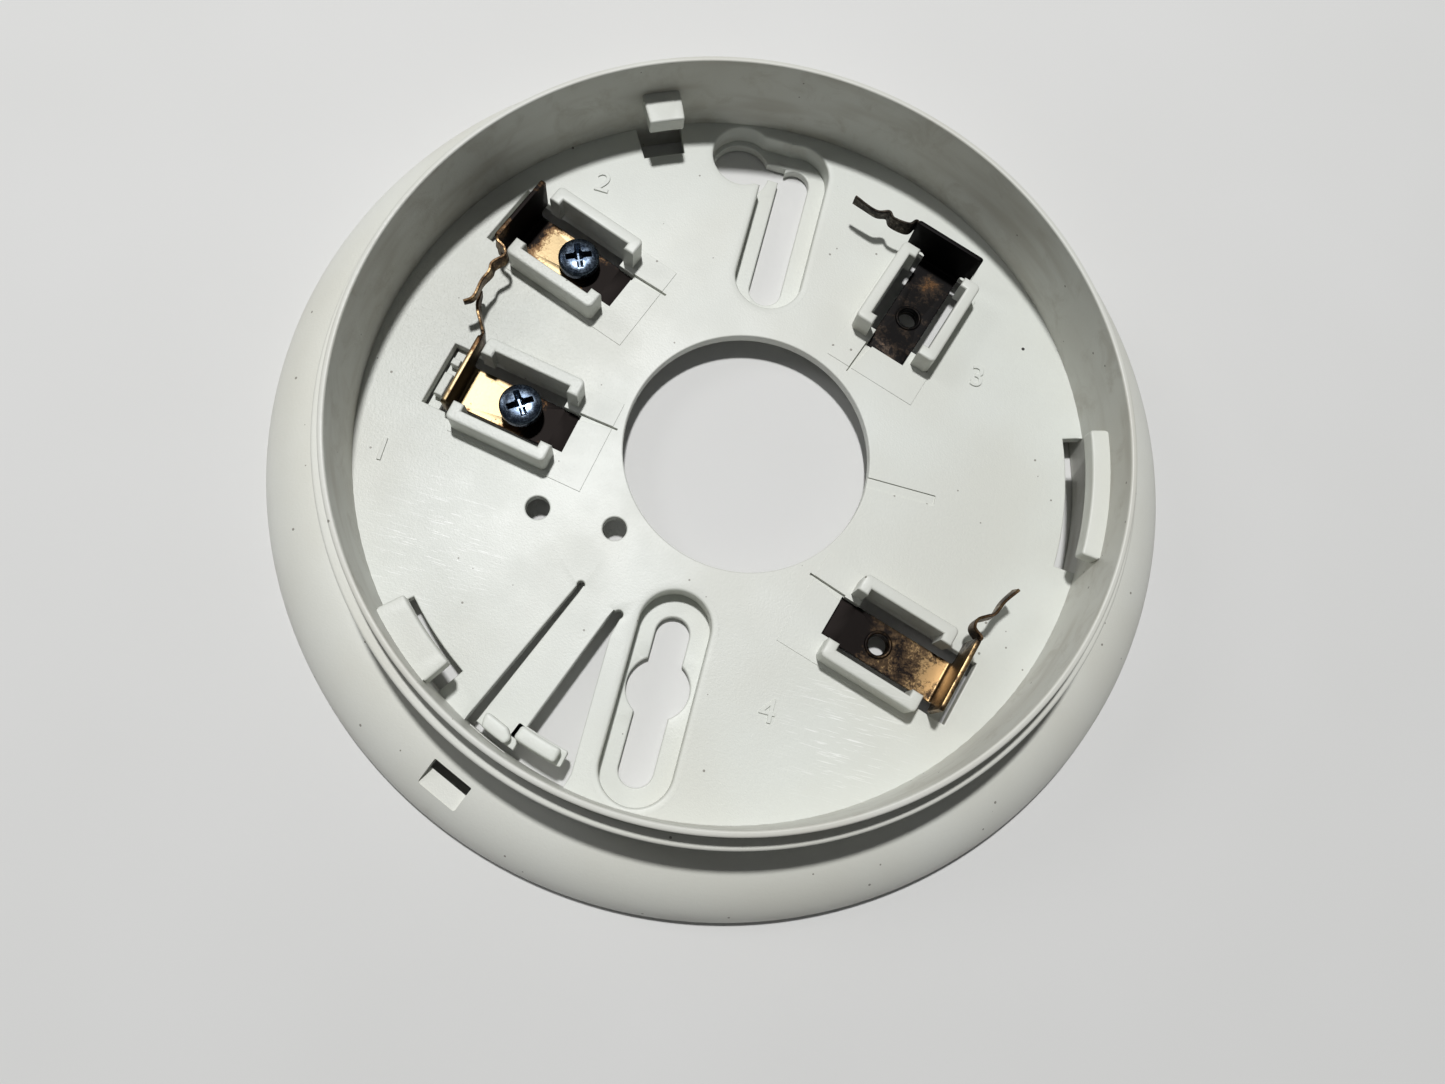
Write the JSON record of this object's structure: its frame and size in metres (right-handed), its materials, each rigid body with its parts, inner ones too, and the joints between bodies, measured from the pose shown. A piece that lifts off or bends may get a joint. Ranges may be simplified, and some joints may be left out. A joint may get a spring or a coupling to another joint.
{
  "type": "smoke detector mounting base",
  "caption": "Round twist-in ceiling base of a smoke detector, with a flanged trim ring, screw slots, guarded contact terminals, spring fingers, bayonet tabs and a locking lever.",
  "frame": {"origin": "centre of the back face, on the mounting surface", "axes": "+Z away from the mounting surface into the room, +Y along the two mounting slots towards the upper one"},
  "size_m": [0.155, 0.155, 0.022],
  "materials": {
    "moulded_white": "satin, fine spark-eroded grain",
    "trim_white": "satin",
    "plated_bronze": "bright plating with dark tarnish",
    "dark_bronze": "heavily tarnished",
    "zinc_steel": "dull blue-grey zinc"
  },
  "bodies": {
    "base": {"base_plate": "moulded_white", "slot_boss_lower": "moulded_white", "slot_boss_upper": "moulded_white", "rim_wall": "moulded_white", "trim_ring": "trim_white", "bayonet_tab_1": "moulded_white", "bayonet_tab_2": "moulded_white", "bayonet_tab_3": "moulded_white", "terminal_guard_1": "moulded_white", "terminal_guard_2": "moulded_white", "terminal_guard_3": "moulded_white", "terminal_guard_4": "moulded_white", "contact_1": "plated_bronze", "contact_2": "dark_bronze", "contact_3": "dark_bronze", "contact_4": "plated_bronze"},
    "lever": {"lock_lever": "moulded_white", "lever_foot": "moulded_white"},
    "finger_1": {"spring_finger_1": "dark_bronze"},
    "finger_2": {"spring_finger_2": "dark_bronze"},
    "finger_3": {"spring_finger_3": "dark_bronze"},
    "finger_4": {"spring_finger_4": "dark_bronze"},
    "screw_1": {"terminal_screw_1": "zinc_steel"},
    "screw_2": {"terminal_screw_2": "zinc_steel"}
  },
  "joints": [
    {"name": "lever_flex", "type": "hinge", "parent": "base", "child": "lever", "pos_m": [-0.01445, -0.03145, 0.0046], "axis": [0.9159, -0.4015, 0], "range_deg": [0, 5], "stiffness_Nm_per_rad": 0.5},
    {"name": "finger_1_flex", "type": "hinge", "parent": "base", "child": "finger_1", "pos_m": [-0.04501, 0.00566, 0.0113], "axis": [0, 0, 1], "range_deg": [-4, 4], "stiffness_Nm_per_rad": 0.05},
    {"name": "finger_2_flex", "type": "hinge", "parent": "base", "child": "finger_2", "pos_m": [-0.0474, 0.02156, 0.0113], "axis": [0, 0, 1], "range_deg": [-4, 4], "stiffness_Nm_per_rad": 0.05},
    {"name": "finger_3_flex", "type": "hinge", "parent": "base", "child": "finger_3", "pos_m": [0.02119, 0.04685, 0.0113], "axis": [0, 0, 1], "range_deg": [-4, 4], "stiffness_Nm_per_rad": 0.05},
    {"name": "finger_4_flex", "type": "hinge", "parent": "base", "child": "finger_4", "pos_m": [0.04619, -0.02269, 0.0113], "axis": [0, 0, 1], "range_deg": [-4, 4], "stiffness_Nm_per_rad": 0.05},
    {"name": "screw_1_turn", "type": "hinge", "parent": "base", "child": "screw_1", "pos_m": [-0.03556, -0.00408, 0.004], "axis": [0, 0, 1], "continuous": true},
    {"name": "screw_2_turn", "type": "hinge", "parent": "base", "child": "screw_2", "pos_m": [-0.03416, 0.0252, 0.004], "axis": [0, 0, 1], "continuous": true}
  ]
}
